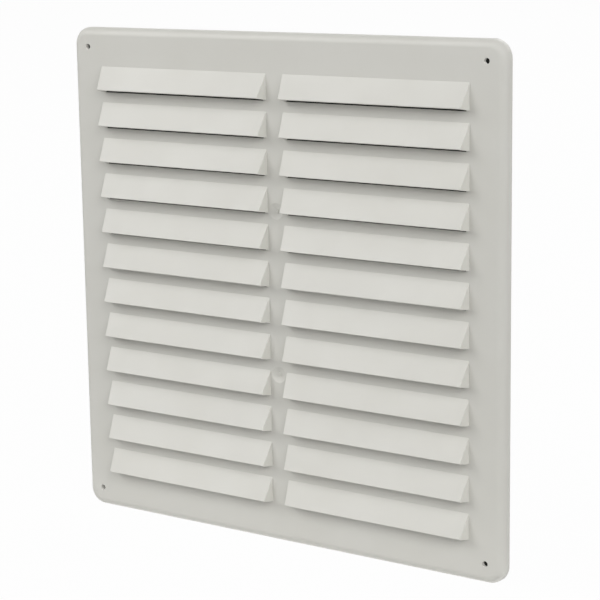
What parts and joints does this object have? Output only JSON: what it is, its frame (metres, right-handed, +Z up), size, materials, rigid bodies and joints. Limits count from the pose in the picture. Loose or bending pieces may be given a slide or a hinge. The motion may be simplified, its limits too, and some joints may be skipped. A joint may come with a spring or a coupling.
{
  "type": "louvred vent",
  "caption": "Square moulded plastic wall vent: a shallow plate with a rounded rim, columns of hooded louvres that shed rain, and a screw hole in each corner.",
  "frame": {"origin": "middle of the rear rim plane that meets the wall", "axes": "+Z up, front towards -Y, +X to the right seen from the front"},
  "size_m": [0.26, 0.0122, 0.26],
  "materials": {
    "vent_plastic": "pale warm grey satin moulding"
  },
  "bodies": {
    "root": {"vent_plate": "vent_plastic"}
  },
  "joints": []
}
